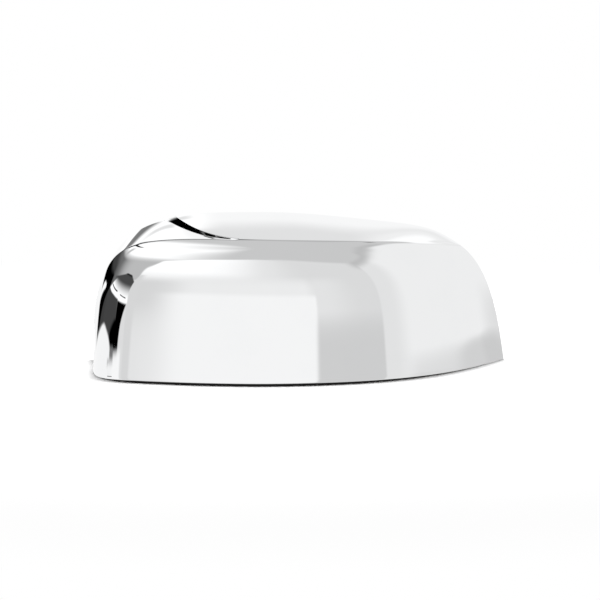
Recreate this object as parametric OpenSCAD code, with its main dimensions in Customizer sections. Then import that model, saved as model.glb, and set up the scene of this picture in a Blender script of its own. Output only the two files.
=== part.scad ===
// Wing mirror cover, upper half: one thin moulded shell with a bright plated finish.
// It stands on its lower rim, open underneath and at the back.
// X runs along the mirror from its outer end to its inner end, Y back, Z up.

/* [Overall] */
// Length over both ends
cover_l = 251; // [210:1:300]
// Depth from the nose of the front to the back edge
cover_d = 84; // [70:1:105]
// Height of the back edge at its crown
crown_h = 90.8; // [84:0.2:110]
// Thickness of the moulded wall
wall = 2.6; // [1.6:0.1:3.6]

/* [Lower rim] */
// How far the outer end tucks in at the rim
end_tuck = 2.3; // [1:0.1:5]
// How far the outer end's wall bows out in plan
end_bow = 1.2; // [0.4:0.1:2.4]
// Distance of the nose from the outer end
nose_in = 94; // [75:1:120]
// Length of the flat lead-in on the inner side of the nose
nose_lead = 67; // [40:1:85]
// How far the front has run back where it meets the rounded outer corner
front_rake = 9.6; // [6:0.2:14]
// Size of the rounded outer corner along the front
corner_l = 32; // [26:1:40]
// Size of the rounded outer corner along the outer end
corner_d = 25; // [18:1:32]
// Angle between the front and the length at the inner corner
inner_angle = 61.5; // [50:0.5:70]
// Length of the flat lead-in at the inner corner
inner_lead = 76; // [50:1:86]

/* [Wall section] */
// Height at which the front's rounding would level out
level_h = 86; // [78:0.5:90]
// The same height at the inner corner
level_inner_h = 77; // [66:0.5:82]
// Depth over which the rounding would level out
level_run = 60; // [46:1:72]
// Squareness of the rounding at the outer end
end_square = 3.6; // [3:0.1:5]
// Squareness of the rounding over the front
front_square = 4.2; // [3:0.1:5]
// Squareness of the rounding at the inner corner
inner_square = 3.4; // [2.6:0.1:4.2]
// Inward lean of the outer end's wall over its height
end_lean = 7; // [3:0.5:10]
// Inward lean of the front wall over its height
front_lean = 2.5; // [1:0.5:6]
// Inward lean of the wall at the inner corner
inner_lean = 10; // [5:0.5:13]
// Angle through which the sections fan round from the outer end to the inner corner
section_fan = 143; // [134:1:150]

/* [Crease] */
// Turn round the section at which the crease lies over the front
crease_turn = 56.1; // [50:0.1:60]
// Turn round the section at which the crease meets the back edge
crease_tip_turn = 49; // [44:0.5:54]
// Bulge of the top between the crease and the back edge
top_crown = 0.5; // [0:0.05:0.8]

/* [Back edge] */
// Size of the back edge's rounding at the outer end
shoulder_r = 38.5; // [30:0.5:46]
// Distance of the crown from the outer end
crown_in = 120; // [100:1:140]
// Fall of the back edge from the crown towards the inner end
crown_fall = 8.8; // [5:0.2:13]
// Length of the back edge's last stretch, which drops to the crease's end
tip_lead = 44; // [36:1:52]

/* [Blade on the top] */
// Distance from the outer end to where the blade's edge leaves the crease
blade_tip_in = 101.5; // [86:0.5:120]
// Distance from the outer end to where the blade's edge meets the back edge
blade_end_in = 50; // [45:0.5:60]
// Length along the crease over which the blade's edge comes to its point
blade_point_l = 5; // [2:0.5:9]
// Width of the blade's sloped edge at the back
blade_edge_w = 6.3; // [4:0.1:9]
// Height of the blade over the surface beside it
blade_h = 1.6; // [0.8:0.1:2.6]
// Share of its height that the blade has lost at the back
blade_fade = 0.4; // [0:0.05:0.6]
// How sharply the blade's edge sweeps back
blade_sweep = 2.5; // [2:0.05:3.2]

/* [Hidden] */

x_out = -cover_l / 2;
x_in = cover_l / 2;
y_nose = -cover_d / 2;
y_back = cover_d / 2;

// Columns of the mesh: outer end, blade, inner end. Rows: wall, side band, blade's edge, blade.
cols = [30, 34, 42];
wall_rows = 12;
band_rows = 6;
edge_rows = 2;
blade_rows = 8;
seek_steps = 30;
tiny = 0.01;

// One coordinate of a uniform cubic B-spline piece, at f of the way along it
function blend4(a, b, c, d, f) =
    (a * pow(1 - f, 3) + b * (3 * f * f * f - 6 * f * f + 4)
     + c * (-3 * f * f * f + 3 * f * f + 3 * f + 1) + d * f * f * f) / 6;

// A B-spline through its first and last control value, at u from 0 to 1
function spline(p, u) =
    let (n = len(p) - 1,
         t = min(max(u, 0), 1) * n,
         k = min(floor(t), n - 1),
         before = k > 0 ? p[k - 1] : 2 * p[0] - p[1],
         after = k < n - 1 ? p[k + 2] : 2 * p[n] - p[n - 1])
    blend4(before, p[k], p[k + 1], after, t - k);

function bezier(a, b, c, d, t) =
    a * pow(1 - t, 3) + b * 3 * t * pow(1 - t, 2) + c * 3 * t * t * (1 - t) + d * t * t * t;

function smooth(t) = let (c = min(max(t, 0), 1)) c * c * (3 - 2 * c);

// The u from lo to hi at which a rising function of the list g passes zero
function seek(g, lo, hi, steps = seek_steps) =
    let (mid = (lo + hi) / 2)
    steps == 0 ? mid : g(mid) < 0 ? seek(g, mid, hi, steps - 1) : seek(g, lo, mid, steps - 1);

// Plan of the lower rim: outer end wall, rounded corner, raked front, swept inner part.
// The curve passes just inside its control points, so the nose's lies this far ahead.
nose_ahead = 0.7;
// Where the corner's middle point lies, as shares of the corner's length and depth
corner_fill = [0.4, 0.58];
// The point next to the front's first one: its share of the way to the nose, and of the rake
front_ease = [0.4, 0.6];
// Places on the swept part, closer together at the nose
swept_steps = [0, 0.14, 0.31, 0.48, 0.65, 0.82, 1];
nose = [x_out + nose_in, y_nose - nose_ahead];
inner_corner = [x_in, y_back];
inner_pull = inner_corner - inner_lead * [cos(inner_angle), sin(inner_angle)];
front_left = [x_out + corner_l, y_nose + front_rake];
rim_points = concat(
    [[x_out + end_tuck, y_back],
     [x_out + end_tuck - end_bow / 2, y_back - cover_d / 5],
     [x_out + end_tuck - end_bow, y_back - 2 * cover_d / 5],
     [x_out + end_tuck + 0.75 * end_bow, y_nose + corner_d],
     [x_out + corner_fill[0] * corner_l, y_nose + corner_fill[1] * corner_d],
     front_left,
     front_left + [front_ease[0] * (nose[0] - front_left[0]), -front_ease[1] * front_rake]],
    [for (t = swept_steps)
        bezier(nose, nose + [nose_lead, 0], inner_pull, inner_corner, t)]);

// Turn of the crease round each section, as a share of its turn over the front
crease_share = [0, 0.4, 0.58, 0.77, 0.91, 0.97, 1, 1, 1, 1, 1, 1, 0.96];
crease_points = concat(crease_turn * crease_share, [crease_tip_turn]);

// How far the levelling height has sunk where the front turns into the swept part
level_dip = 1.5;

function rim(u) = spline(rim_points, u);
function inward(u) = [cos(section_fan * u), sin(section_fan * u)];
function level(u) = spline([level_h, level_h, level_h, level_h, level_h - level_dip,
                            (level_h + level_inner_h) / 2, level_inner_h], u);
function square(u) = spline([end_square, end_square, front_square, front_square,
                             front_square, inner_square], u);
function lean(u) = spline([end_lean, end_lean, front_lean, front_lean, front_lean, inner_lean], u);
function crease(u) = spline(crease_points, u);

// The rounded wall: u runs along the rim and turn goes round the section, from 0 at the rim
function wall_at(u, turn) =
    let (n = square(u),
         r = pow(pow(abs(cos(turn)), n) + pow(abs(sin(turn)), n), -1 / n),
         across = 1 - r * cos(turn),
         up = r * sin(turn),
         set_in = level_run * across + (1 - across) * lean(u) * up,
         p = rim(u) + inward(u) * set_in)
    [p[0], p[1], level(u) * up];

function crease_at(u) = wall_at(u, crease(u));

// Where the crease runs out on the back edge
u_tip = seek(function(u) crease_at(u)[1] - y_back, 0.7, 1);
tip = crease_at(u_tip);

// The back edge from the outer corner over the crown to the tip, as [x, z]
x_crown = x_out + crown_in;
x_first = x_out + 1.6 * shoulder_r;
x_last = x_in - tip_lead;
// The shoulder's points as [in from the end, down from the crown], in shares of its size
shoulder_low = [0.12, 1];
shoulder_mid = [0.48, 0.4];
shoulder_high = [1, 0.11];
// Height of the end wall's middle point, as a share of the height under the shoulder
end_mid_share = 0.48;
// How far the first point beyond the shoulder lies under the crown
crown_ease = 0.5;
// Above 1, the fall starts gently and steepens
fall_power = 1.1;
crown_steps = 5;
edge_points = concat(
    [[x_out + end_tuck, 0],
     [x_out - (end_tuck + shoulder_low[0] * shoulder_r) / 4, end_mid_share * (crown_h - shoulder_r)]],
    [for (s = [shoulder_low, shoulder_mid, shoulder_high])
        [x_out + s[0] * shoulder_r, crown_h - s[1] * shoulder_r]],
    [for (k = [0:crown_steps])
        let (x = x_first + k * (x_last - x_first) / crown_steps,
             beyond = max(0, x - x_crown) / (x_last - x_crown))
        [x, crown_h - (k == 0 ? crown_ease : crown_fall * pow(beyond, fall_power))]],
    [[tip[0], tip[2]]]);
function back_edge(u) = let (p = spline(edge_points, u / u_tip)) [p[0], y_back, p[1]];

// The blade's sloped edge runs from the crease to the back edge between two lines, low and high.
function u_on_crease(x) = seek(function(u) crease_at(u)[0] - x, 0.2, u_tip);
function u_on_edge(x) = seek(function(u) back_edge(u)[0] - x, 0.1, u_tip);
high_tip = u_on_crease(x_out + blade_tip_in);
high_end = u_on_edge(x_out + blade_end_in);
low_tip = u_on_crease(x_out + blade_tip_in - blade_point_l);
low_end = u_on_edge(x_out + blade_end_in - blade_edge_w);
// The lower line sweeps back less sharply than the upper one
low_sweep = 0.83 * blade_sweep;
// Below this share of the top's width, a line counts as lying on the crease
slim = 0.004;
function line_v(u, from, to, sweep) =
    let (v = pow(max(0, (from - u) / (from - to)), sweep)) v < slim ? 0 : v;
function high_line(u) = line_v(u, high_tip, high_end, blade_sweep);
function low_line(u) = line_v(u, low_tip, low_end, low_sweep);
// The blade's height over the side band: full soon after its point, a little lower at the back,
// and none at the foot of the outer end
end_run = 1.4;
function blade_height(u) =
    let (e = min(1, max(0, (low_tip - u) / (low_tip - low_end))))
    blade_h * (1 - pow(1 - e, 3)) * (1 - blade_fade * smooth(e)) * smooth(end_run * u / low_end);

// How far the surface lies under the blade
function sunk(u, v) =
    let (lo = low_line(u), hi = high_line(u))
    lo == 0 || v >= hi ? 0 : blade_height(u) * (v <= lo ? v / lo : (hi - v) / (hi - lo));

// The top without the blade's step: u as on the wall, v from 0 on the crease to 1 on the back edge
function plain_top_at(u, v) =
    let (a = crease_at(u), b = back_edge(u), rise = v + top_crown * v * (1 - v))
    [a[0] + (b[0] - a[0]) * v,
     a[1] + (b[1] - a[1]) * v,
     a[2] + (b[2] - a[2]) * rise];
function top_at(u, v) = plain_top_at(u, v) - [0, 0, sunk(u, v)];

function unit(a) = a / norm(a);
function wall_normal(u, turn) =
    unit(cross(wall_at(min(u + tiny, 1), turn) - wall_at(max(u - tiny, 0), turn),
               wall_at(u, turn + 1) - wall_at(u, turn - 1)));
function top_normal(u, v) =
    let (w = min(max(u, 2 * tiny), u_tip - 2 * tiny))
    unit(cross(plain_top_at(w + tiny, v) - plain_top_at(w - tiny, v),
               plain_top_at(w, min(v + tiny, 1)) - plain_top_at(w, max(v - tiny, 0))));

// Inner face: a wall's thickness in from the outer one. Close to the rim and the back edge it turns
// into their planes, so that both edges are cut flat.
flat_in = 3 * wall;

function inner_of(p, n) =
    let (m = [n[0], n[1] * min(1, (y_back - p[1]) / flat_in), n[2] * min(1, p[2] / flat_in)])
    p - wall * m / (m * m);

// Grid of the shell. On the wall, each row's columns close up so that the last one is the back edge.
n_cols = cols[0] + cols[1] + cols[2];
n_rows = wall_rows + band_rows + edge_rows + blade_rows;
breaks = [0, low_end - 2 * tiny, high_tip + 2 * tiny, u_tip] / u_tip;
column_at = concat(
    [for (k = [0:cols[0] - 1]) breaks[0] + (breaks[1] - breaks[0]) * k / cols[0]],
    [for (k = [0:cols[1] - 1]) breaks[1] + (breaks[2] - breaks[1]) * k / cols[1]],
    [for (k = [0:cols[2]]) breaks[2] + (breaks[3] - breaks[2]) * k / cols[2]]);
row_end = [for (j = [0:wall_rows])
    seek(function(u) wall_at(u, crease(u) * j / wall_rows)[1] - y_back, 0.7, 1)];

// v of a row of the top in column u
function row_v(u, k) =
    let (lo = min(low_line(u), 1), hi = min(high_line(u), 1))
    k <= band_rows ? lo * k / band_rows
    : k <= band_rows + edge_rows ? lo + (hi - lo) * (k - band_rows) / edge_rows
    : hi + (1 - hi) * (k - band_rows - edge_rows) / blade_rows;

// Each grid point as [outer point, inner point]
function grid_point(i, j) =
    j <= wall_rows
    ? let (u = column_at[i] * (j == 0 ? 1 : row_end[j]),
           turn = crease(u) * j / wall_rows,
           p = wall_at(u, turn),
           n = j < wall_rows ? wall_normal(u, turn)
               : unit(wall_normal(u, turn) + top_normal(u, 0)))
      [p, inner_of(p, n)]
    : let (u = column_at[i] * u_tip,
           v = row_v(u, j - wall_rows),
           p = top_at(u, v))
      [p, inner_of(p, top_normal(u, v))];
grid = [for (i = [0:n_cols]) for (j = [0:n_rows]) grid_point(i, j)];

// Rows that close up on a neighbour share its points.
function shared_row(i, j) =
    let (u = column_at[i] * u_tip, k = j - wall_rows)
    i == 0 ? 0
    : k <= 0 ? j
    : i == n_cols ? wall_rows
    : low_line(u) == 0 && k <= band_rows ? wall_rows
    : high_line(u) == 0 && k <= band_rows + edge_rows ? wall_rows
    : low_line(u) >= 1 && k > band_rows ? wall_rows + band_rows
    : high_line(u) >= 1 && k > band_rows + edge_rows ? wall_rows + band_rows + edge_rows
    : j;
function at(i, j) = i * (n_rows + 1) + shared_row(i, j);

// Two triangles of a cell, less any that has closed up
function cell(a, b, c, d) =
    [for (t = [[a, b, c], [a, c, d]]) if (t[0] != t[1] && t[1] != t[2] && t[2] != t[0]) t];

module cover() {
    inner = len(grid);
    outside = [for (i = [0:n_cols - 1]) for (j = [0:n_rows - 1])
        each cell(at(i, j), at(i, j + 1), at(i + 1, j + 1), at(i + 1, j))];
    inside = [for (t = outside) [t[2], t[1], t[0]] + inner * [1, 1, 1]];
    rim_strip = [for (i = [0:n_cols - 1])
        each cell(at(i, 0), at(i + 1, 0), at(i + 1, 0) + inner, at(i, 0) + inner)];
    lower_back = [for (j = [0:wall_rows - 1])
        each cell(at(n_cols, j), at(n_cols, j + 1),
                  at(n_cols, j + 1) + inner, at(n_cols, j) + inner)];
    upper_back = [for (i = [0:n_cols - 1])
        each cell(at(i + 1, n_rows), at(i, n_rows), at(i, n_rows) + inner, at(i + 1, n_rows) + inner)];
    color("silver")
        polyhedron(points = concat([for (g = grid) g[0]], [for (g = grid) g[1]]),
                   faces = concat(outside, inside, rim_strip, lower_back, upper_back));
}

cover();
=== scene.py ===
"""Studio scene of a bright plated wing mirror cover.

The cover is one thin moulded shell. Its outer skin is worked out from the same named sizes as the
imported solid, on a much finer grid, so that its reflections run smoothly. A node tree gives the skin
its wall. The studio round it is a white table under one soft lamp, with pale and dark panels that
only show in the plating.
"""

import logging
import math
from collections.abc import Callable
from dataclasses import dataclass, field
from enum import Enum

import bpy
import numpy as np
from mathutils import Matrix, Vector


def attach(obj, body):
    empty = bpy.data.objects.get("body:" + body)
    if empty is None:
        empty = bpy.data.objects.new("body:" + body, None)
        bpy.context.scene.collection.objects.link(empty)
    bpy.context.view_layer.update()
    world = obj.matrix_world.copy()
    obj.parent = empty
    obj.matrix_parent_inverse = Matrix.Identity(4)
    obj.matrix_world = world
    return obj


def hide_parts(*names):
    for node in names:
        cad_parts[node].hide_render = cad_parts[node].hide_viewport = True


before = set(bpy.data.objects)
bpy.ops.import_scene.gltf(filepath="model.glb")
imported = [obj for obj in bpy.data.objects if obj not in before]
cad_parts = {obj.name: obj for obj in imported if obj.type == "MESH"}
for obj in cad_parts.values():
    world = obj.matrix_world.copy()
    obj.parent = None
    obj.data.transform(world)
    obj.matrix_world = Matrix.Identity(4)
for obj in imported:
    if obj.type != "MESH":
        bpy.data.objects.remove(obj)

LOG = logging.getLogger("wing_mirror_cover")
MM = 0.001
COVER_NODE = "cover"
ROOT_BODY = "root"
WHITE = (1.0, 1.0, 1.0, 1.0)
UP = np.array([0.0, 0.0, 1.0])
# The middle of a noise texture's values
NOISE_MIDDLE = 0.5
# How often a search halves its range
HALVINGS = 40
# Lengths and shares that are never divided by less than this
SHORT = 1e-6
TINY = 1e-9


# ---------------------------------------------------------------- node maths

class Wire:
    """One output socket, with the operators that shader maths is written in."""

    def __init__(self, kit: "NodeKit", socket: bpy.types.NodeSocket) -> None:
        self.kit = kit
        self.socket = socket

    def __add__(self, other: "Wire | float") -> "Wire":
        """Returns self + other."""
        return self.kit.maths("ADD", self, other)

    def __radd__(self, other: float) -> "Wire":
        """Returns other + self."""
        return self.kit.maths("ADD", other, self)

    def __sub__(self, other: "Wire | float") -> "Wire":
        """Returns self - other."""
        return self.kit.maths("SUBTRACT", self, other)

    def __rsub__(self, other: float) -> "Wire":
        """Returns other - self."""
        return self.kit.maths("SUBTRACT", other, self)

    def __mul__(self, other: "Wire | float") -> "Wire":
        """Returns self * other."""
        return self.kit.maths("MULTIPLY", self, other)

    def __rmul__(self, other: float) -> "Wire":
        """Returns other * self."""
        return self.kit.maths("MULTIPLY", other, self)


class NodeKit:
    """Makes nodes in one tree and joins them up."""

    def __init__(self, tree: bpy.types.NodeTree) -> None:
        """Starts from an empty tree.

        Args:
            tree: the node tree to fill.
        """
        self.tree = tree
        tree.nodes.clear()

    def node(self, kind: str, settings: dict | None = None,
             values: dict | None = None) -> bpy.types.Node:
        """Makes one node.

        Args:
            kind: the node's type.
            settings: its own settings, set before its sockets.
            values: a value, or a Wire to link, for each input by name or number.

        Returns:
            The node.
        """
        made = self.tree.nodes.new(kind)
        for name, value in (settings or {}).items():
            setattr(made, name, value)
        for name, value in (values or {}).items():
            self.feed(made.inputs[name], value)
        return made

    def feed(self, socket: bpy.types.NodeSocket, value: "Wire | float | tuple") -> None:
        """Links a Wire to a socket, or sets the socket's own value.

        Args:
            socket: the input.
            value: what it takes.
        """
        if isinstance(value, Wire):
            self.tree.links.new(value.socket, socket)
        else:
            socket.default_value = value

    def wire(self, node: bpy.types.Node, output: str | int = 0) -> Wire:
        """Returns one output of a node as a Wire."""
        return Wire(self, node.outputs[output])

    def maths(self, operation: str, *terms: "Wire | float") -> Wire:
        """Returns a Math node's result for the given terms."""
        values = dict(enumerate(terms))
        return self.wire(self.node("ShaderNodeMath", {"operation": operation}, values))

    def step(self, value: Wire, low: float, high: float) -> Wire:
        """Returns a smooth rise from 0 at low to 1 at high."""
        ramp = self.node("ShaderNodeMapRange", {"interpolation_type": "SMOOTHSTEP"},
                         {"Value": value, "From Min": low, "From Max": high})
        return self.wire(ramp)

    def blend(self, share: "Wire | float", below: "Wire | tuple", above: "Wire | tuple") -> Wire:
        """Returns a colour between two others.

        Args:
            share: 0 for below, 1 for above.
            below: the colour at 0.
            above: the colour at 1.

        Returns:
            The mixed colour.
        """
        mix = self.node("ShaderNodeMix", {"data_type": "RGBA"}, {0: share, 6: below, 7: above})
        return self.wire(mix, 2)

    def noise(self, scale: float, detail: float, roughness: float = 0.5) -> Wire:
        """Returns a noise over the object, with its octaves and how much each one adds."""
        place = self.wire(self.node("ShaderNodeTexCoord"), "Object")
        return self.wire(self.node("ShaderNodeTexNoise", {}, {
            "Vector": place, "Scale": scale, "Detail": detail, "Roughness": roughness}))

    def bump(self, height: Wire, strength: float, depth: float) -> Wire:
        """Returns the normal that a height gives, with its depth in millimetres."""
        return self.wire(self.node("ShaderNodeBump", {}, {
            "Strength": strength, "Distance": depth * MM, "Height": height}))


# ---------------------------------------------------------------- finishes

@dataclass(frozen=True)
class BrightPlate:
    """Mirror plating: a clear reflection with faint haze and the slightest ripple."""

    name: str = "bright_plate"
    colour: tuple = (0.93, 0.935, 0.94, 1.0)
    worn_colour: tuple = (0.92, 0.926, 0.932, 1.0)
    roughness: float = 0.015
    haze: float = 0.015
    haze_scale: float = 38.0
    haze_detail: float = 4.0
    haze_grit: float = 0.6
    haze_range: tuple = (0.45, 0.75)
    metallic: float = 1.0
    ripple_scale: float = 24.0
    ripple_detail: float = 1.0
    ripple_strength: float = 0.15
    ripple_height: float = 0.012

    def material(self) -> bpy.types.Material:
        """Builds the plating's material.

        Returns:
            The material.
        """
        made, kit, shader = new_surface(self.name)
        cloud = kit.noise(self.haze_scale, self.haze_detail, self.haze_grit)
        patches = kit.step(cloud, *self.haze_range)
        kit.feed(shader.inputs["Base Color"], kit.blend(patches, self.colour, self.worn_colour))
        kit.feed(shader.inputs["Roughness"], self.roughness + self.haze * patches)
        kit.feed(shader.inputs["Metallic"], self.metallic)
        ripple = kit.noise(self.ripple_scale, self.ripple_detail)
        kit.feed(shader.inputs["Normal"], kit.bump(ripple, self.ripple_strength, self.ripple_height))
        return made


@dataclass(frozen=True)
class MouldedInside:
    """The shell's inner face: plating over a fine moulded texture, so it is satin grey."""

    name: str = "moulded_inside"
    colour: tuple = (0.50, 0.51, 0.52, 1.0)
    shade: tuple = (0.40, 0.41, 0.42, 1.0)
    roughness: float = 0.42
    uneven: float = 0.12
    metallic: float = 0.85
    cloud_scale: float = 30.0
    cloud_detail: float = 3.0
    grain_scale: float = 1400.0
    grain_detail: float = 2.0
    grain_strength: float = 0.5
    grain_height: float = 0.03

    def material(self) -> bpy.types.Material:
        """Builds the inner face's material.

        Returns:
            The material.
        """
        made, kit, shader = new_surface(self.name)
        cloud = kit.noise(self.cloud_scale, self.cloud_detail)
        grain = kit.noise(self.grain_scale, self.grain_detail)
        kit.feed(shader.inputs["Base Color"], kit.blend(cloud, self.shade, self.colour))
        kit.feed(shader.inputs["Roughness"], self.roughness + self.uneven * (cloud - NOISE_MIDDLE))
        kit.feed(shader.inputs["Metallic"], self.metallic)
        kit.feed(shader.inputs["Normal"], kit.bump(grain, self.grain_strength, self.grain_height))
        return made


def new_surface(name: str) -> tuple[bpy.types.Material, NodeKit, bpy.types.Node]:
    """Makes a material that holds one Principled shader.

    Args:
        name: the material's name.
    """
    made = bpy.data.materials.new(name)
    made.use_nodes = True
    kit = NodeKit(made.node_tree)
    shader = kit.node("ShaderNodeBsdfPrincipled")
    kit.node("ShaderNodeOutputMaterial", {}, {"Surface": kit.wire(shader)})
    return made, kit, shader


# ---------------------------------------------------------------- the cover's shape

def spline(points: np.ndarray, share: np.ndarray) -> np.ndarray:
    """Evaluates a uniform cubic B-spline that passes through its two ends.

    Args:
        points: control values, or control points in rows.
        share: places along it, from 0 to 1.

    Returns:
        The value or point at each place.
    """
    points = np.asarray(points, float)
    last = len(points) - 1
    before, beyond = 2 * points[0] - points[1], 2 * points[last] - points[last - 1]
    padded = np.concatenate([[before], points, [beyond]])
    place = np.clip(np.asarray(share, float), 0, 1) * last
    piece = np.minimum(np.floor(place).astype(int), last - 1)
    f = place - piece
    weights = ((1 - f) ** 3, 3 * f ** 3 - 6 * f ** 2 + 4,
               -3 * f ** 3 + 3 * f ** 2 + 3 * f + 1, f ** 3)
    if points.ndim == 2:
        return sum(w[..., None] * padded[piece + k] for k, w in enumerate(weights)) / 6
    return sum(w * padded[piece + k] for k, w in enumerate(weights)) / 6


def smooth(t: np.ndarray) -> np.ndarray:
    """Returns a smooth rise from 0 to 1, with t held between them."""
    t = np.clip(t, 0, 1)
    return t * t * (3 - 2 * t)


def seek(rising: Callable[[float], float], low: float, high: float) -> float:
    """Finds where a rising function passes zero.

    Args:
        rising: the function.
        low: a place before it passes zero.
        high: a place beyond.

    Returns:
        The place where it passes zero.
    """
    for _ in range(HALVINGS):
        middle = (low + high) / 2
        if rising(middle) < 0:
            low = middle
        else:
            high = middle
    return (low + high) / 2


def unit(vectors: np.ndarray) -> np.ndarray:
    """Returns the vectors at length 1."""
    return vectors / np.linalg.norm(vectors, axis=-1, keepdims=True)


@dataclass
class CoverSkin:
    """The cover's outer skin, in millimetres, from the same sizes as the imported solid.

    u runs along the rim from the outer end, 0, to the inner corner, 1. On the wall, turn is the
    angle round the section. On the top, v runs from the crease, 0, to the back edge, 1.
    """

    cover_l: float = 251.0
    cover_d: float = 84.0
    crown_h: float = 90.8
    wall: float = 2.6
    end_tuck: float = 2.3
    nose_in: float = 94.0
    nose_lead: float = 67.0
    front_rake: float = 9.6
    corner_l: float = 32.0
    corner_d: float = 25.0
    inner_angle: float = 61.5
    inner_lead: float = 76.0
    level_h: float = 86.0
    level_inner_h: float = 77.0
    level_run: float = 60.0
    squares: tuple = (3.6, 3.6, 4.2, 4.2, 4.2, 3.4)
    leans: tuple = (7.0, 7.0, 2.5, 2.5, 2.5, 10.0)
    section_fan: float = 143.0
    crease_turn: float = 56.1
    crease_tip_turn: float = 49.0
    crease_share: tuple = (0, 0.4, 0.58, 0.77, 0.91, 0.97, 1, 1, 1, 1, 1, 1, 0.96)
    top_crown: float = 0.5
    shoulder_r: float = 38.5
    crown_in: float = 120.0
    crown_fall: float = 8.8
    blade_tip_in: float = 101.5
    blade_end_in: float = 50.0
    blade_edge_w: float = 7.3
    blade_h: float = 1.6
    blade_sweep: float = 2.5
    slim: float = 0.004
    # Details of the rim's plan and of the wall's height
    end_bow: float = 1.2
    nose_ahead: float = 0.7
    corner_fill: tuple = (0.4, 0.58)
    front_ease: tuple = (0.4, 0.6)
    swept_steps: tuple = (0, 0.14, 0.31, 0.48, 0.65, 0.82, 1)
    level_dip: float = 1.5
    # Details of the back edge: shares of the shoulder's radius, in and down, and the crown's fall
    shoulders: tuple = ((0.12, 1), (0.48, 0.4), (1, 0.11))
    end_mid_share: float = 0.48
    crown_from: float = 1.6
    crown_ease: float = 0.5
    crown_steps: int = 5
    fall_power: float = 1.1
    tip_lead: float = 44.0
    # Details of the blade: its lines, where its height fades, and how soft its two lines are
    blade_point_l: float = 5.0
    low_sweep: float = 0.83
    blade_fade: float = 0.4
    end_run: float = 1.4
    low_run: float = 0.02
    high_run: float = 0.3
    line_soft: float = 0.06
    # Where the searches along the rim start
    tip_from: float = 0.7
    crease_from: float = 0.2
    edge_from: float = 0.1
    # Steps that the skin's directions are measured over, along it and in degrees of turn
    probe: float = 0.01
    turn_probe: float = 1.0
    x_out: float = field(init=False)
    x_in: float = field(init=False)
    y_nose: float = field(init=False)
    y_back: float = field(init=False)
    u_tip: float = field(init=False)
    high_tip: float = field(init=False)
    high_end: float = field(init=False)
    low_tip: float = field(init=False)
    low_end: float = field(init=False)
    rim_points: np.ndarray = field(init=False)
    edge_points: np.ndarray = field(init=False)

    def __post_init__(self) -> None:
        """Works out the rim's plan, the tip, the back edge and the blade's lines."""
        self.x_out, self.x_in = -self.cover_l / 2, self.cover_l / 2
        self.y_nose, self.y_back = -self.cover_d / 2, self.cover_d / 2
        self.rim_points = self._rim_plan()
        self.u_tip = seek(lambda u: self.crease_at(u)[1] - self.y_back, self.tip_from, 1.0)
        self.edge_points = self._back_line()
        self.high_tip = self._on_crease(self.x_out + self.blade_tip_in)
        self.high_end = self._on_edge(self.x_out + self.blade_end_in)
        self.low_tip = self._on_crease(self.x_out + self.blade_tip_in - self.blade_point_l)
        self.low_end = self._on_edge(self.x_out + self.blade_end_in - self.blade_edge_w)

    def _rim_plan(self) -> np.ndarray:
        """Lays out the lower rim: end wall, rounded corner, raked front, swept part.

        Returns:
            The plan's control points.
        """
        nose = np.array([self.x_out + self.nose_in, self.y_nose - self.nose_ahead])
        lead = nose + np.array([self.nose_lead, 0])
        corner = np.array([self.x_in, self.y_back])
        angle = math.radians(self.inner_angle)
        pull = corner - self.inner_lead * np.array([math.cos(angle), math.sin(angle)])
        front = np.array([self.x_out + self.corner_l, self.y_nose + self.front_rake])
        end, depth = self.x_out + self.end_tuck, self.y_back - self.y_nose
        plan = [(end, self.y_back), (end - self.end_bow / 2, self.y_back - depth / 5),
                (end - self.end_bow, self.y_back - 2 * depth / 5),
                (end + 0.75 * self.end_bow, self.y_nose + self.corner_d),
                (self.x_out + self.corner_fill[0] * self.corner_l,
                 self.y_nose + self.corner_fill[1] * self.corner_d), front,
                (front[0] + self.front_ease[0] * (nose[0] - front[0]),
                 front[1] - self.front_ease[1] * self.front_rake)]
        for t in self.swept_steps:
            plan.append(nose * (1 - t) ** 3 + lead * 3 * t * (1 - t) ** 2
                        + pull * 3 * t * t * (1 - t) + corner * t ** 3)
        return np.array(plan, float)

    def _back_line(self) -> np.ndarray:
        """Lays out the back edge from the outer corner over the crown to the tip.

        Returns:
            Its control points, as x and z.
        """
        high, r = self.crown_h, self.shoulder_r
        tip = self.crease_at(self.u_tip)
        crown, last = self.x_out + self.crown_in, self.x_in - self.tip_lead
        first = self.x_out + self.crown_from * r
        line = [(self.x_out + self.end_tuck, 0),
                (self.x_out - (self.end_tuck + self.shoulders[0][0] * r) / 4,
                 self.end_mid_share * (high - r))]
        line += [(self.x_out + share_in * r, high - share_down * r)
                 for share_in, share_down in self.shoulders]
        for k in range(self.crown_steps + 1):
            x = first + k * (last - first) / self.crown_steps
            beyond = max(0.0, x - crown) / (last - crown)
            drop = self.crown_ease if k == 0 else self.crown_fall * beyond ** self.fall_power
            line.append((x, high - drop))
        return np.array(line + [(tip[0], tip[2])], float)

    def _on_crease(self, x: float) -> float:
        """Returns u where the crease passes x."""
        return seek(lambda u: self.crease_at(u)[0] - x, self.crease_from, self.u_tip)

    def _on_edge(self, x: float) -> float:
        """Returns u where the back edge passes x."""
        return seek(lambda u: self.back_edge(u)[0] - x, self.edge_from, self.u_tip)

    def crease_angle(self, u: np.ndarray) -> np.ndarray:
        """Returns the turn at which the crease lies."""
        return spline([self.crease_turn * s for s in self.crease_share] + [self.crease_tip_turn], u)

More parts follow.
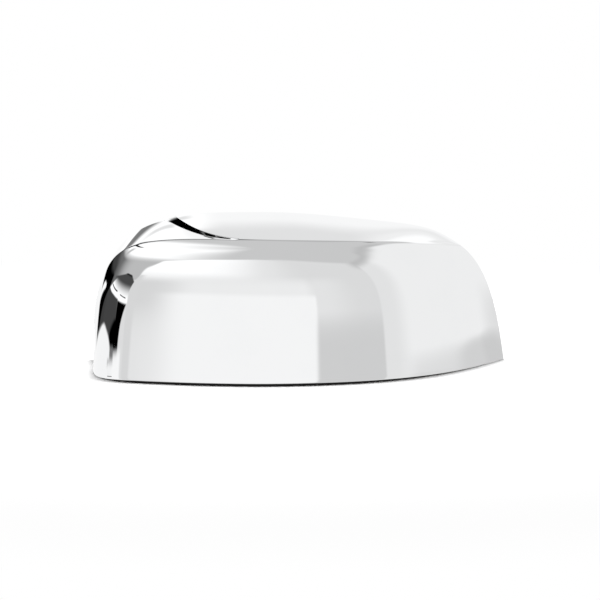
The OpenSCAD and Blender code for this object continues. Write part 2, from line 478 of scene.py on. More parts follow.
    def wall_at(self, u: np.ndarray, turn: np.ndarray) -> np.ndarray:
        """Returns points of the rounded wall.

        Args:
            u: places along the rim.
            turn: angles round the section, in degrees.

        Returns:
            A point for each pair.
        """
        u, turn = np.broadcast_arrays(np.asarray(u, float), np.asarray(turn, float))
        n, angle = spline(self.squares, u), np.radians(turn)
        r = (np.abs(np.cos(angle)) ** n + np.abs(np.sin(angle)) ** n) ** (-1 / n)
        across, up = 1 - r * np.cos(angle), r * np.sin(angle)
        set_in = self.level_run * across + (1 - across) * spline(self.leans, u) * up
        heading = np.radians(self.section_fan * u)
        plan = spline(self.rim_points, u)
        mid_h = (self.level_h + self.level_inner_h) / 2
        heights = (self.level_h,) * 4 + (self.level_h - self.level_dip, mid_h, self.level_inner_h)
        return np.stack([plan[..., 0] + set_in * np.cos(heading),
                         plan[..., 1] + set_in * np.sin(heading), spline(heights, u) * up], -1)

    def crease_at(self, u: np.ndarray) -> np.ndarray:
        """Returns points on the crease."""
        return self.wall_at(u, self.crease_angle(u))

    def back_edge(self, u: np.ndarray) -> np.ndarray:
        """Returns points on the back edge."""
        line = spline(self.edge_points, np.asarray(u, float) / self.u_tip)
        return np.stack([line[..., 0], np.full(line.shape[:-1], self.y_back), line[..., 1]], -1)

    def _line_v(self, u: np.ndarray, start: float, end: float, sweep: float) -> np.ndarray:
        """Returns v of one of the blade's lines, which leaves the crease at start."""
        v = np.maximum(0, (start - u) / (start - end)) ** sweep
        return np.where(v < self.slim, 0, v)

    def high_line(self, u: np.ndarray) -> np.ndarray:
        """Returns v of the upper line of the blade's edge."""
        return self._line_v(u, self.high_tip, self.high_end, self.blade_sweep)

    def low_line(self, u: np.ndarray) -> np.ndarray:
        """Returns v of the lower line of the blade's edge."""
        return self._line_v(u, self.low_tip, self.low_end, self.low_sweep * self.blade_sweep)

    def sunk(self, u: np.ndarray, v: np.ndarray) -> np.ndarray:
        """Works out how far the surface lies under the blade, with its two lines softened.

        Args:
            u: places along the rim.
            v: places across the top.

        Returns:
            The depth at each.
        """
        along = np.clip((self.low_tip - u) / (self.low_tip - self.low_end), 0, 1)
        height = self.blade_h * (1 - (1 - along) ** 3) * (1 - self.blade_fade * smooth(along))
        height = height * smooth(self.end_run * u / self.low_end)
        low, high = self.low_line(u), self.high_line(u)
        gap = np.maximum(high - low, TINY)
        rising, falling = v / np.maximum(low, TINY), (high - v) / gap
        soft = self.line_soft
        blunt = np.maximum(soft - np.abs(rising - falling), 0) ** 2 / (4 * soft)
        share = np.minimum(rising, falling) - blunt
        share = np.maximum(share, 0) + np.maximum(soft - np.abs(share), 0) ** 2 / (4 * soft)
        share = np.where(v > high + self.high_run * gap, 0, share)
        return np.where(low == 0, 0, height * share * smooth(v / self.low_run))

    def plain_top_at(self, u: np.ndarray, v: np.ndarray) -> np.ndarray:
        """Works out points of the top without the blade's step.

        Args:
            u: places along the rim.
            v: places from the crease, 0, to the back edge, 1.

        Returns:
            A point for each pair.
        """
        u, v = np.broadcast_arrays(np.asarray(u, float), np.asarray(v, float))
        start, end = self.crease_at(u), self.back_edge(u)
        share = np.stack([v, v, v + self.top_crown * v * (1 - v)], -1)
        return start + (end - start) * share

    def top_at(self, u: np.ndarray, v: np.ndarray) -> np.ndarray:
        """Returns points of the top."""
        return self.plain_top_at(u, v) - self.sunk(u, v)[..., None] * UP

    def wall_normal(self, u: np.ndarray, turn: np.ndarray) -> np.ndarray:
        """Works out the wall's outward directions.

        Args:
            u: places along the rim.
            turn: angles round the section, in degrees.

        Returns:
            A direction for each pair.
        """
        d, t = self.probe, self.turn_probe
        along = self.wall_at(np.minimum(u + d, 1), turn) - self.wall_at(np.maximum(u - d, 0), turn)
        return unit(np.cross(along, self.wall_at(u, turn + t) - self.wall_at(u, turn - t)))

    def top_normal(self, u: np.ndarray, v: np.ndarray) -> np.ndarray:
        """Works out the outward directions of the top without the blade's step.

        Args:
            u: places along the rim.
            v: places from the crease, 0, to the back edge, 1.

        Returns:
            A direction for each pair.
        """
        d = self.probe
        u = np.clip(u, 2 * d, self.u_tip - 2 * d)
        back = self.plain_top_at(u, np.minimum(v + d, 1)) - self.plain_top_at(u, np.maximum(v - d, 0))
        return unit(np.cross(self.plain_top_at(u + d, v) - self.plain_top_at(u - d, v), back))


@dataclass
class CoverShell:
    """The whole shell: the skin's grid, the soft crease, the rounded edges and the wall."""

    skin: CoverSkin
    columns: int = 380
    wall_rows: int = 66
    crease_rows: int = 6
    band_rows: int = 26
    edge_rows: int = 8
    blade_rows: int = 34
    crease_w: float = 1.1
    edge_r: float = 0.5
    flat_in: float = 3.0
    # Where the rows and columns lie on the two rounded edges, as shares of the rounding
    rim_steps: tuple = (0, 0.04, 0.14, 0.32, 0.6, 1.0)
    back_columns: tuple = (0.5, 0.3, 0.16, 0.07, 0.02)
    back_rows: tuple = (0.4, 0.7, 0.88, 0.97, 1.0)
    # The rounding's share of the top at the back, and the wall's length that its columns go by
    back_share: float = 0.012
    wall_run: float = 150.0
    # How strongly the rows draw together, and the most that the soft crease and the rim may take
    wall_pull: float = 0.35
    top_pull: float = 0.6
    crease_most: float = 0.2
    rim_most: float = 0.05
    # Share of a row that lengths are measured over
    probe: float = 1e-3

    def build(self, plate: bpy.types.Material, inside: bpy.types.Material) -> bpy.types.Object:
        """Builds the shell as one closed mesh.

        Args:
            plate: the plating's material, for the outside and the cut edges.
            inside: the inner face's material.

        Returns:
            The finished piece.
        """
        points, inward = self._grid()
        rows, columns = points.shape[:2]
        number = np.arange(rows * columns).reshape(rows, columns)
        quads = np.stack([number[:-1, :-1], number[1:, :-1], number[1:, 1:], number[:-1, 1:]], -1)
        mesh = bpy.data.meshes.new("cover_skin")
        mesh.from_pydata((points.reshape(-1, 3) * MM).tolist(), [], quads.reshape(-1, 4).tolist())
        store = mesh.attributes.new(WallTree.way, "FLOAT_VECTOR", "POINT")
        store.data.foreach_set("vector", (inward.reshape(-1, 3) / self.skin.wall).ravel())
        draft = bpy.data.objects.new("cover_skin", mesh)
        bpy.context.scene.collection.objects.link(draft)
        return WallTree().apply(draft, "cover_shell", self.skin.wall * MM, plate, inside)

    def _spread(self, rows: int, pull: float = 0.0) -> np.ndarray:
        """Returns rows + 1 shares from 0 to 1, closer together near 1 for a larger pull."""
        even = np.linspace(0, 1, rows + 1)
        return even + pull * even * (1 - even)

    def _column_shares(self) -> np.ndarray:
        """Spaces the columns from the outer end to the tip, closest at the back edge.

        Returns:
            Their places, from 0 to 1.
        """
        even = np.linspace(0, 1, self.columns + 1)
        near_end = 1 - np.array(self.back_columns) * self.edge_r / self.wall_run
        return np.unique(np.concatenate([even, near_end]))

    def _grid(self) -> tuple[np.ndarray, np.ndarray]:
        """Lays the grid over the skin.

        Returns:
            The outer points, and from each the way to the inner face.
        """
        skin = self.skin
        w = self._column_shares()
        points, inward = [], []
        edge_z = np.array(self.rim_steps) * self.edge_r
        step = self.probe
        crease = skin.crease_angle(w * skin.u_tip)
        length = np.linalg.norm(skin.wall_at(w * skin.u_tip, crease)
                                - skin.wall_at(w * skin.u_tip, crease * (1 - step)), axis=-1) / step
        t_soft = 1 - np.minimum(self.crease_w / np.maximum(length, SHORT), self.crease_most)
        shares = [np.full_like(w, 0.0)]
        for z in edge_z[1:]:
            rise = np.maximum(skin.level_h * np.radians(crease), SHORT)
            shares.append(np.minimum(z / rise, self.rim_most * z))
        foot = shares[-1]
        for t in self._spread(self.wall_rows, self.wall_pull)[1:]:
            shares.append(foot + t * (t_soft - foot))
        for share in shares:
            u, turn = self._wall_place(w, share)
            point = skin.wall_at(u, turn)
            points.append(point)
            inward.append(self._inward(point, skin.wall_normal(u, turn)))
        u = w * skin.u_tip
        start, corner = points[-1], skin.crease_at(u)
        across = skin.top_at(u, step * np.ones_like(u)) - skin.top_at(u, 0 * u)
        reach = np.linalg.norm(across, axis=-1) / step
        v_soft = np.minimum(self.crease_w / np.maximum(reach, SHORT), self.crease_most)
        after = skin.top_at(u, v_soft)
        u_before, turn_before = self._wall_place(w, shares[-1])
        normal_a, normal_b = skin.wall_normal(u_before, turn_before), skin.top_normal(u, v_soft)
        for s in np.linspace(0, 1, self.crease_rows + 1)[1:]:
            point = start * (1 - s) ** 2 + corner * 2 * s * (1 - s) + after * s * s
            points.append(point)
            inward.append(self._inward(point, unit(normal_a * (1 - s) + normal_b * s)))
        for v in self._top_rows(u, v_soft):
            point = skin.top_at(u, v)
            points.append(point)
            inward.append(self._inward(point, skin.top_normal(u, v)))
        return self._rounded(np.array(points), np.array(inward))

    def _wall_place(self, w: np.ndarray, share: np.ndarray) -> tuple[np.ndarray, np.ndarray]:
        """Finds u and turn on the wall, with the last column on the back edge.

        Args:
            w: the columns' places from 0 to 1.
            share: how far up to the crease each lies.

        Returns:
            u and turn for each column.
        """
        skin = self.skin
        low, high = np.full_like(w, skin.tip_from), np.full_like(w, 1.0)
        for _ in range(HALVINGS):
            middle = (low + high) / 2
            beyond = skin.wall_at(middle, skin.crease_angle(middle) * share)[..., 1] > skin.y_back
            low, high = np.where(beyond, low, middle), np.where(beyond, middle, high)
        u = w * np.where(share <= 0, 1.0, (low + high) / 2)
        return u, skin.crease_angle(u) * share

    def _top_rows(self, u: np.ndarray, v_soft: np.ndarray) -> list[np.ndarray]:
        """Spaces the rows of the top, closer together at the blade's edge and the back.

        Args:
            u: the columns' places along the rim.
            v_soft: where the soft crease ends in each.

        Returns:
            v in each column, row by row.
        """
        low = np.clip(self.skin.low_line(u), v_soft, 1)
        high = np.clip(self.skin.high_line(u), v_soft, 1)
        band, blade = (self._spread(n, self.top_pull) for n in (self.band_rows, self.blade_rows))
        rows = [v_soft + (low - v_soft) * t for t in band[1:]]
        rows += [low + (high - low) * t for t in self._spread(self.edge_rows)[1:]]
        last = 1 - (1 - high) * self.back_share
        rows += [high + (last - high) * (1 - s) for s in blade[::-1][1:]]
        return rows + [last + (1 - last) * t for t in self.back_rows]

    def _inward(self, points: np.ndarray, normals: np.ndarray) -> np.ndarray:
        """Finds the way from the outer to the inner face, in the cut planes at the two edges.

        Args:
            points: points of the outer face.
            normals: its directions there.

        Returns:
            The way at each point, in millimetres.
        """
        skin = self.skin
        reach = self.flat_in * skin.wall
        way = normals.copy()
        way[..., 1] *= np.clip((skin.y_back - points[..., 1]) / reach, 0, 1)
        way[..., 2] *= np.clip(points[..., 2] / reach, 0, 1)
        return -skin.wall * way / (way ** 2).sum(-1, keepdims=True)

    def _rounded(self, points: np.ndarray, inward: np.ndarray) -> tuple[np.ndarray, np.ndarray]:
        """Rounds the shell off where it meets the rim's and the back edge's planes.

        Args:
            points: points of the outer face.
            inward: the way to the inner face from each.

        Returns:
            The moved points, and the way from each.
        """
        r = self.edge_r
        gap = np.minimum(points[..., 2], self.skin.y_back - points[..., 1])
        gap = np.clip(gap, 0, r)
        cut = (r - np.sqrt(np.maximum(r * r - (r - gap) ** 2, 0)))[..., None] * unit(inward)
        return points + cut, inward - 2 * cut


class WallTree:
    """Node tree that gives a skin its wall, closes the edges and sets the two finishes."""

    name: str = "moulded_wall"
    way: str = "inward"
    lining: str = "inner_face"
    wall: float = 2.6
    weld: float = 0.002
    sharp_from: float = 60.0

    def __init__(self) -> None:
        """Builds the tree, with named inputs for the wall and the weld at its edges."""
        tree = bpy.data.node_groups.new(self.name, "GeometryNodeTree")
        face = tree.interface
        face.new_socket("Skin", in_out="INPUT", socket_type="NodeSocketGeometry")
        for label, value in (("Wall", self.wall * MM), ("Weld", self.weld * MM)):
            size = face.new_socket(label, in_out="INPUT", socket_type="NodeSocketFloat")
            size.default_value = value
        for label in ("Outside", "Inside"):
            face.new_socket(label, in_out="INPUT", socket_type="NodeSocketMaterial")
        face.new_socket("Shell", in_out="OUTPUT", socket_type="NodeSocketGeometry")
        kit = NodeKit(tree)
        given = kit.node("NodeGroupInput")
        turned = kit.node("GeometryNodeFlipFaces", {}, {"Mesh": kit.wire(given, "Skin")})
        pulled = kit.node("GeometryNodeExtrudeMesh", {"mode": "FACES"}, {
            "Mesh": kit.wire(turned), "Offset Scale": 0.0, "Individual": False})
        way = kit.node("GeometryNodeInputNamedAttribute", {"data_type": "FLOAT_VECTOR"},
                       {"Name": self.way})
        offset = kit.node("ShaderNodeVectorMath", {"operation": "SCALE"}, {
            0: kit.wire(way), "Scale": kit.wire(given, "Wall")})
        moved = kit.node("GeometryNodeSetPosition", {}, {
            "Geometry": kit.wire(pulled), "Selection": kit.wire(pulled, "Top"),
            "Offset": kit.wire(offset)})
        marked = kit.node(
            "GeometryNodeStoreNamedAttribute", {"data_type": "BOOLEAN", "domain": "FACE"},
            {"Geometry": kit.wire(moved), "Name": self.lining, "Value": kit.wire(pulled, "Top")})
        joined = kit.node("GeometryNodeJoinGeometry")
        for part in (kit.wire(given, "Skin"), kit.wire(marked)):
            kit.feed(joined.inputs[0], part)
        welded = kit.node("GeometryNodeMergeByDistance", {}, {
            "Geometry": kit.wire(joined), "Distance": kit.wire(given, "Weld")})
        real = kit.node("GeometryNodeRealizeInstances", {}, {"Geometry": kit.wire(welded)})
        plated = kit.node("GeometryNodeSetMaterial", {}, {
            "Geometry": kit.wire(real), "Material": kit.wire(given, "Outside")})
        lined = kit.wire(kit.node("GeometryNodeInputNamedAttribute", {"data_type": "BOOLEAN"},
                                  {"Name": self.lining}))
        dressed = kit.node("GeometryNodeSetMaterial", {}, {
            "Geometry": kit.wire(plated), "Selection": lined, "Material": kit.wire(given, "Inside")})
        kit.node("NodeGroupOutput", {}, {"Shell": kit.wire(dressed)})
        self.tree = tree

    def apply(self, draft: bpy.types.Object, name: str, wall: float,
              outside: bpy.types.Material, inside: bpy.types.Material) -> bpy.types.Object:
        """Runs the tree on a skin and keeps the result as a plain mesh.

        Args:
            draft: the object that holds the skin. It is deleted.
            name: the finished piece's name.
            wall: the wall's thickness in metres.
            outside: material of the skin and the cut edges.
            inside: material of the inner face.

        Returns:
            The finished piece.
        """
        modifier = draft.modifiers.new(self.name, "NODES")
        modifier.node_group = self.tree
        sockets = {item.name: item.identifier for item in self.tree.interface.items_tree
                   if item.in_out == "INPUT"}
        modifier[sockets["Wall"]] = wall
        modifier[sockets["Outside"]] = outside
        modifier[sockets["Inside"]] = inside
        bpy.context.view_layer.update()
        ready = draft.evaluated_get(bpy.context.evaluated_depsgraph_get())
        mesh = bpy.data.meshes.new_from_object(ready)
        mesh.name = name
        draft.modifiers.remove(modifier)
        bpy.data.objects.remove(draft)
        for label in (self.way, self.lining):
            mesh.attributes.remove(mesh.attributes[label])
        mesh.shade_smooth()
        mesh.set_sharp_from_angle(angle=math.radians(self.sharp_from))
        piece = bpy.data.objects.new(name, mesh)
        bpy.context.scene.collection.objects.link(piece)
        return piece


# ---------------------------------------------------------------- the studio

class Wall(Enum):
    """The way from which a card's bearings are counted."""

    FRONT = "towards the camera's side"
    BACK = "away from it"


@dataclass(frozen=True)
class Card:
    """A soft-edged card hung round the cover, seen only in its plating.

    Its corners go round it anticlockwise, each a bearing to the right and a height in degrees, and
    the softness of the edge that leaves the corner.
    """

    name: str
    tone: float
    corners: tuple
    wall: Wall = Wall.FRONT


def light_of(tone: float) -> float:
    """Returns the light that shows as a tone from 0, black, to 255, white."""
    share = tone / 255
    return share / 12.92 if share <= 0.04045 else ((share + 0.055) / 1.055) ** 2.4


CARDS = (
    # Overhead, above the outer end
    Card("left_sheet", 262, (
        (-150, 48.5, 5), (-60, 48.5, 6), (-28, 49, 16), (-34, 82, 8), (-150, 82, 16))),
    Card("left_sheet_fold", 192, ((-97, 42, 4), (-86, 42, 4), (-86, 60, 4), (-97, 60, 4))),
    # In front, with the window in its sheet
    Card("front_card", 230, (
        (-36.8, -60, 2), (49, -60, 2), (49, 46, 5), (12, 59.2, 2), (2, 59.3, 2), (-14, 57.6, 1.5),
        (-24, 54.8, 1.2), (-32, 50.8, 1.2), (-36.8, 47.5, 0.8))),
    Card("front_sheet", 262, (
        (-36.8, 26, 9), (-9, 26, 15), (-9, 58.4, 2), (-14, 57.6, 1.5), (-24, 54.8, 1.2),
        (-32, 50.8, 1.2), (-36.8, 47.5, 0.8))),
    Card("front_far", 220, ((12, 24, 8), (49, 24, 1), (49, 46, 5), (12, 59, 8))),
    Card("window_glow", 238, ((-24, -60, 2), (18, -60, 2), (18, 24, 7), (-24, 24, 6))),
    Card("outer_dusk", 215, ((-36.8, 1, 7), (-27, 1, 7), (-27, 22, 4), (-36.8, 22, 0.8))),
    Card("window", 247, ((-27, -60, 2), (19.7, -60, 0.7), (19.7, 11.5, 2.2), (-27, 11.5, 6))),
    Card("gap", 229, ((19.7, -60, 2), (49, -60, 0.8), (49, 24, 8), (19.7, 24, 0.7))),
    Card("gap_shade", 220, ((30, -60, 2), (49, -60, 0.8), (49, 48, 6), (30, 48, 9))),
    Card("gap_floor", 207, ((19.4, -60, 2), (49, -60, 0.8), (49, 0, 5), (19.4, -1, 1.2))),
    # At the inner end, with the table's shade at its foot
    Card("right_beam", 190, (
        (46, 40, 5), (154, 30, 2), (150, 56, 2), (134, 65, 2), (112, 68, 2), (88, 67, 2),
        (64, 58, 3), (46, 50, 5))),
    Card("right_card_edge", 228, (
        (48.5, -60, 2), (156, -60, 2), (153, 45, 2.5), (144, 54.5, 2.5), (134, 60, 3.5),
        (112, 63, 4.5), (88, 61.5, 5), (64, 52.5, 5), (48.5, 43, 0.9))),
    Card("right_card", 240, (
        (56, -60, 2), (156, -60, 2), (153, 45, 2.5), (144, 54.5, 2.5), (134, 60, 3.5),
        (112, 62, 4.5), (88, 60, 5), (64, 50, 6))),
    Card("right_dusk", 205, ((115.4, -4, 1), (160, -4, 2), (160, 5, 6), (121.1, 5, 3.8))),
    Card("right_floor", 220, ((66, -60, 2), (114, -60, 2), (114, -2.5, 0.7), (62, -5.7, 8))),
    Card("right_floor_far", 210, ((98, -60, 2), (113, -60, 2), (113, -2.6, 0.5), (96, -3.9, 7))),
    Card("right_floor_end", 204, (
        (111.5, -60, 1), (126, -60, 2), (126, 0.8, 0.7), (111.5, -2.75, 1.5))),
    # At the outer end: flags, a white stripe with a dark band, and the table's edge
    Card("end_reveal", 222, ((-48, -60, 2), (-36, -60, 1), (-36, 13, 2), (-48, 13, 2))),
    Card("end_flag", 188, (
        (-36.8, 13, 0.6), (-36.8, 47, 3), (-60, 46, 2.5), (-90, 47, 4), (-115, 44, 5),
        (-168, 22, 3), (-168, -12, 3), (-100, -12, 2))),
    Card("end_flag_far", 110, (
        (-66, 5, 20), (-66, 44, 4), (-90, 44, 5), (-115, 42, 5), (-168, 20, 3), (-168, -12, 3))),
    Card("end_deep", 62, (
        (-100, -12, 12), (-92, 30, 10), (-160, 34, 6), (-168, 20, 3), (-168, -12, 2))),
    Card("end_stripe", 262, (
        (-98, 9.6, 0.8), (-37, 5.4, 1), (-37, 20, 2), (-74, 20, 1.2), (-82, 16.7, 0.8),
        (-98, 10, 0.8))),
    Card("end_band", 72, (
        (-84, 19, 5), (-37.4, 11.4, 0.6), (-37.8, 18, 0.6), (-42.8, 25.2, 0.8), (-49, 26.6, 0.8),
        (-58, 25, 1.2), (-84, 20, 3))),
    Card("end_band_edge", 38, (
        (-41.4, 22.6, 0.8), (-42.6, 25, 0.6), (-49, 26.9, 0.6), (-53, 26.2, 1), (-49, 25.0, 0.8))),
    Card("end_black", 0, (
        (-112, -12, 2), (-104, 2, 2), (-98, 9.9, 0.8), (-88, 13.8, 0.8), (-81.5, 18, 1.5),
        (-118, 19, 2), (-150, 8, 3), (-168, 4, 2), (-168, -12, 2))),
    Card("front_reveal", 216, (
        (-41, -60, 1), (-35, -60, 1), (-35, 26, 1), (-36.4, 26, 0.5), (-41, 12, 0.8))),
    Card("end_lower", 66, (
        (-116, -4, 1), (-57, -5, 1), (-57, 7.7, 0.6), (-73, 9.2, 0.6), (-98, 9.5, 1), (-109, 2, 2))),
    Card("end_blot", 0, (
        (-58, -4.7, 0.6), (-49.4, -4.7, 0.6), (-46.8, -1.4, 0.6), (-43.2, 2.6, 0.6),
        (-41.4, 5.4, 0.6), (-57, 7.2, 1))),
    Card("end_blot_foot", 0, (
        (-73, -4.8, 0.6), (-49, -4.8, 0.6), (-47, -1.2, 1), (-58, 0.8, 1), (-73, -2.2, 1.5))),
    Card("end_dash", 40, ((-88, 12.9, 0.3), (-62, 11.1, 0.5), (-62, 12.0, 0.3), (-88, 13.9, 0.5))),
    Card("end_dash_low", 60, (
        (-54, 9.8, 0.25), (-43.5, 8.0, 0.4), (-43.5, 8.6, 0.25), (-54, 10.4, 0.4))),
    Card("end_streak", 255, (
        (-162, -6.9, 0.5), (-131, 2.2, 0.5), (-131, 3.6, 0.5), (-145, 0.6, 0.5), (-162, -5.6, 0.5))),
    Card("end_rim", 245, (
        (-179, -12, 1), (-145, -12, 1), (-157, -6.4, 0.8), (-165, -5.4, 0.8), (-179, -5.4, 1))),
    Card("end_table_near", 250, (
        (-66, -60, 2), (-44, -60, 1.5), (-44, -4.6, 0.5), (-66, -4.6, 0.5))),
    Card("end_table", 247, (
        (-165, -60, 2), (-62, -60, 1), (-62, -5.2, 0.5), (-76, -3.1, 0.6), (-88, -2.4, 0.6),
        (-100, -2.2, 0.6), (-114, -3.0, 0.6), (-130, -5.0, 0.6), (-150, -7.4, 0.6), (-165, -9.2, 1))),
    Card("end_wisp", 118, (
        (-68.5, -5.0, 0.3), (-57.5, -5.0, 0.8), (-58.5, -4.1, 0.4), (-68.5, -4.1, 0.8))),
    Card("end_wisp_low", 196, (
        (-76.5, -5.3, 0.1), (-66, -5.05, 1), (-66, -4.85, 0.1), (-76.5, -5.0, 0.8))),
    Card("end_dot", 90, ((-72.5, -9, 1), (-58, -9, 1), (-58, -6.2, 1), (-72.5, -6.2, 1))),
    # Behind: a screen, with flags to its left and over it
    Card("back_screen", 226, (
        (-12, -60, 2), (29.5, -60, 1), (29.5, 36, 2), (-9, 36, 1)), Wall.BACK),
    Card("back_low", 248, ((-12, -60, 2), (29, -60, 1), (29, 24, 4), (-9, 24, 1)), Wall.BACK),
    Card("back_left", 262, (
        (-12, -2, 1), (-3.2, -2, 1.2), (-3.2, 25.5, 1.5), (-12, 25.5, 1)), Wall.BACK),
    Card("back_left_fold", 226, (
        (-9, 12.5, 1), (-4.4, 14.6, 0.8), (-4.4, 17.6, 0.8), (-9, 15, 1)), Wall.BACK),
    Card("back_edge", 122, (
        (-11, 2, 0.8), (-6.6, 2, 1), (-6.6, 8.6, 2.5), (-11, 8.6, 1)), Wall.BACK),
    Card("back_rim", 60, (
        (-3.6, -11, 0.8), (-0.2, -11, 0.3), (-0.2, -4, 1), (-3.6, -4, 0.8)), Wall.BACK),
    Card("back_glow", 241, ((6.5, 25.5, 2.5), (29, 25.5, 2), (29, 35, 2), (9.5, 35, 2)), Wall.BACK),
    Card("back_shine", 257, (
        (11, 29.6, 1.8), (27, 29.6, 1.2), (27, 36, 2), (11, 36, 1.2)), Wall.BACK),
    Card("back_strip", 112, (
        (-40, 33.5, 1.2), (0, 33.5, 2), (0, 49.5, 2), (-40, 49.5, 2)), Wall.BACK),
    Card("back_strip_far", 184, (
        (-1, 36.5, 1), (8, 35.5, 1), (14, 39, 1), (14, 54, 4), (-1, 54, 2)), Wall.BACK),
    Card("back_notch", 110, (
        (19.6, 46.4, 0.4), (22.2, 46.4, 0.6), (22.2, 49, 0.4), (19.6, 49, 0.6)), Wall.BACK),
    Card("back_flag_low", 0, (
        (-35, 36, 2), (-19, 22, 2), (-15, 13.6, 0.8), (-10.2, 13.6, 0.6), (-7.0, 27, 0.8),
        (-7.4, 33, 1), (-20, 47, 3), (-35, 54, 3)), Wall.BACK),
    Card("back_flag_high", 0, (
        (-56, 46, 2), (-33, 37, 2), (-33, 56, 1.5), (-44, 59, 1.5), (-56, 61, 1.5)), Wall.BACK),
    Card("back_flag_foot", 0, (
        (-96, 66, 0.8), (-79, 62.8, 0.8), (-52, 56, 1.5), (-52, 60, 0.8), (-64, 63.6, 0.8),
        (-79, 66.2, 0.8), (-96, 68.4, 0.8)), Wall.BACK),
)


@dataclass
class Sky:
    """The world: white to the camera, cards to the plating, a plain level to all else."""

    cards: tuple = CARDS
    ceiling_tone: float = 201.0
    plain_level: float = 0.012
    plating_share: float = 0.955

    def build(self) -> None:
        """Builds the world's tree."""
        world = bpy.data.worlds.new("studio")
        world.use_nodes = True
        bpy.context.scene.world = world
        kit = NodeKit(world.node_tree)
        ray = kit.node("ShaderNodeLightPath")
        seen = kit.maths("MAXIMUM", kit.wire(ray, "Is Camera Ray"),
                         kit.wire(ray, "Is Transmission Ray"))
        # The cards don't light the table by way of the plating
        first = 1 - kit.maths("MINIMUM", kit.wire(ray, "Diffuse Depth"), 1.0)
        plain, cards, white = (
            kit.wire(kit.node("ShaderNodeBackground", {}, {"Color": WHITE, "Strength": level}))
            for level in (self.plain_level, self._cards(kit), 1.0))
        lit = kit.node("ShaderNodeMixShader", {}, {
            0: kit.wire(ray, "Is Glossy Ray") * first, 1: plain, 2: cards})
        shown = kit.node("ShaderNodeMixShader", {}, {0: seen, 1: kit.wire(lit), 2: white})
        kit.node("ShaderNodeOutputWorld", {}, {"Surface": kit.wire(shown)})

    def _cards(self, kit: NodeKit) -> Wire:
        """Lays the cards over one another.

        Args:
            kit: the world's kit.

        Returns:
            The light that the plating sees in each direction.
        """
        place = kit.wire(kit.node("ShaderNodeTexCoord"), "Generated")
        way = kit.node("ShaderNodeSeparateXYZ", {}, {0: place})
        x, y, z = (kit.wire(way, axis) for axis in "XYZ")
        bearings = {Wall.FRONT: kit.maths("ARCTAN2", x, y * -1.0) * math.degrees(1),
                    Wall.BACK: kit.maths("ARCTAN2", x, y) * math.degrees(1)}
        height = kit.maths("ARCSINE", z) * math.degrees(1)
        light = light_of(self.ceiling_tone) / self.plating_share
        for card in self.cards:
            mask = self._mask(kit, card, bearings[card.wall], height)
            target = light_of(card.tone) / self.plating_share
            light = light + mask * (target - light)
        return light

    def _mask(self, kit: NodeKit, card: Card, bearing: Wire, height: Wire) -> Wire:
        """Returns 1 on a card and 0 off it, with each edge as soft as the card says.

        Args:
            kit: the world's kit.
            card: the card.
            bearing: the direction's bearing in degrees, from the card's wall.
            height: its height in degrees.

        Returns:
            The card's mask.
        """
        mask = None
        for (x1, y1, soft), (x2, y2, _) in zip(card.corners, card.corners[1:] + card.corners[:1]):
            length = math.hypot(x2 - x1, y2 - y1)
            a, b = (y1 - y2) / length, (x2 - x1) / length
            inside = kit.maths("MULTIPLY_ADD", height, b, -(a * x1 + b * y1))
            inside = kit.maths("MULTIPLY_ADD", bearing, a, inside)
            edge = kit.step(inside, -soft, soft)
            mask = edge if mask is None else mask * edge
        return mask


@dataclass
class Table:
    """White table that keeps the cover's shadow and fades into the white backdrop."""

    half: float = 4.0
    level: float = 0.98
    fade_from: float = 0.26
    fade_to: float = 0.5

    def build(self) -> None:
        """Builds the table's sheet and its material."""
        h = self.half
        mesh = bpy.data.meshes.new("table")
        mesh.from_pydata([(-h, -h, 0), (h, -h, 0), (h, h, 0), (-h, h, 0)], [], [(0, 1, 2, 3)])
        table = bpy.data.objects.new("table", mesh)
        bpy.context.scene.collection.objects.link(table)
        mesh.materials.append(self._material())

    def _material(self) -> bpy.types.Material:
        """Builds the white sheet's material.

        Returns:
            A diffuse white that turns to plain white away from the cover and is clear to
            reflections, which see the white studio in its place.
        """
        made = bpy.data.materials.new("table_white")
        made.use_nodes = True
        kit = NodeKit(made.node_tree)
        ray = kit.node("ShaderNodeLightPath")
        place = kit.node("ShaderNodeTexCoord")
        reach = kit.wire(kit.node("ShaderNodeVectorMath", {"operation": "LENGTH"},
                                  {0: kit.wire(place, "Object")}), "Value")
        far = kit.step(reach, self.fade_from, self.fade_to) * kit.wire(ray, "Is Camera Ray")
        sheet = kit.node("ShaderNodeBsdfDiffuse", {}, {"Color": (self.level,) * 3 + (1.0,)})
        white = kit.node("ShaderNodeEmission", {}, {"Color": WHITE, "Strength": 1.0})
        faded = kit.node("ShaderNodeMixShader", {}, {0: far, 1: kit.wire(sheet), 2: kit.wire(white)})
        clear = kit.node("ShaderNodeBsdfTransparent")
        both = kit.node("ShaderNodeMixShader", {}, {
            0: kit.wire(ray, "Is Glossy Ray"), 1: kit.wire(faded), 2: kit.wire(clear)})
        kit.node("ShaderNodeOutputMaterial", {}, {"Surface": kit.wire(both)})
        return made


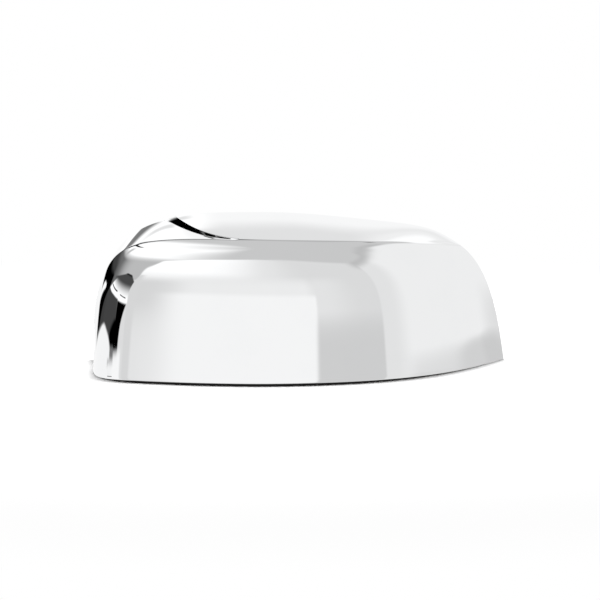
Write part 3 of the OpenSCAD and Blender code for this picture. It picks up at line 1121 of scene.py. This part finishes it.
@dataclass
class Lamp:
    """Long soft lamp above and a little behind the cover."""

    sideways: float = -0.035
    elevation: float = 77.8
    distance: float = 1.5
    width: float = 0.44
    depth: float = 0.12
    power: float = 29.5

    def build(self) -> None:
        """Hangs the lamp and points it at the cover."""
        light = bpy.data.lights.new("top_lamp", "AREA")
        light.shape = "RECTANGLE"
        light.size = self.width
        light.size_y = self.depth
        light.energy = self.power
        lamp = bpy.data.objects.new("top_lamp", light)
        angle = math.radians(self.elevation)
        lamp.location = (self.sideways, self.distance * math.cos(angle),
                         self.distance * math.sin(angle))
        lamp.rotation_euler = (angle - math.pi / 2, 0, 0)
        lamp.visible_glossy = False
        bpy.context.scene.collection.objects.link(lamp)


@dataclass
class Viewpoint:
    """The camera, at the photograph's viewing angle."""

    elevation: float = 9.0
    distance: float = 1.8
    target: tuple = (0.0005, -0.0052, 0.044)
    lens: float = 181.6
    sensor: float = 36.0
    sight: float = 50.0

    def build(self) -> None:
        """Sets the camera up."""
        data = bpy.data.cameras.new("camera")
        data.lens = self.lens
        data.sensor_width = self.sensor
        data.sensor_fit = "HORIZONTAL"
        data.clip_end = self.sight
        camera = bpy.data.objects.new("camera", data)
        angle = math.radians(self.elevation)
        ahead = Vector((0, math.cos(angle), -math.sin(angle)))
        camera.location = Vector(self.target) - self.distance * ahead
        camera.rotation_euler = (math.radians(90) - angle, 0, 0)
        bpy.context.scene.collection.objects.link(camera)
        bpy.context.scene.camera = camera


def main() -> None:
    """Builds the cover and its studio, in order, and reports each."""
    logging.basicConfig(level=logging.INFO, format="%(message)s")
    bpy.context.scene.view_settings.view_transform = "Standard"
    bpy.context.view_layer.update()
    piece = CoverShell(CoverSkin()).build(BrightPlate().material(), MouldedInside().material())
    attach(piece, ROOT_BODY)
    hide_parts(COVER_NODE)
    LOG.info("%s: %d faces", piece.name, len(piece.data.polygons))
    for stage in (Table(), Sky(), Lamp(), Viewpoint()):
        stage.build()
        LOG.info("%s: built", type(stage).__name__.lower())


if __name__ == "__main__":
    main()
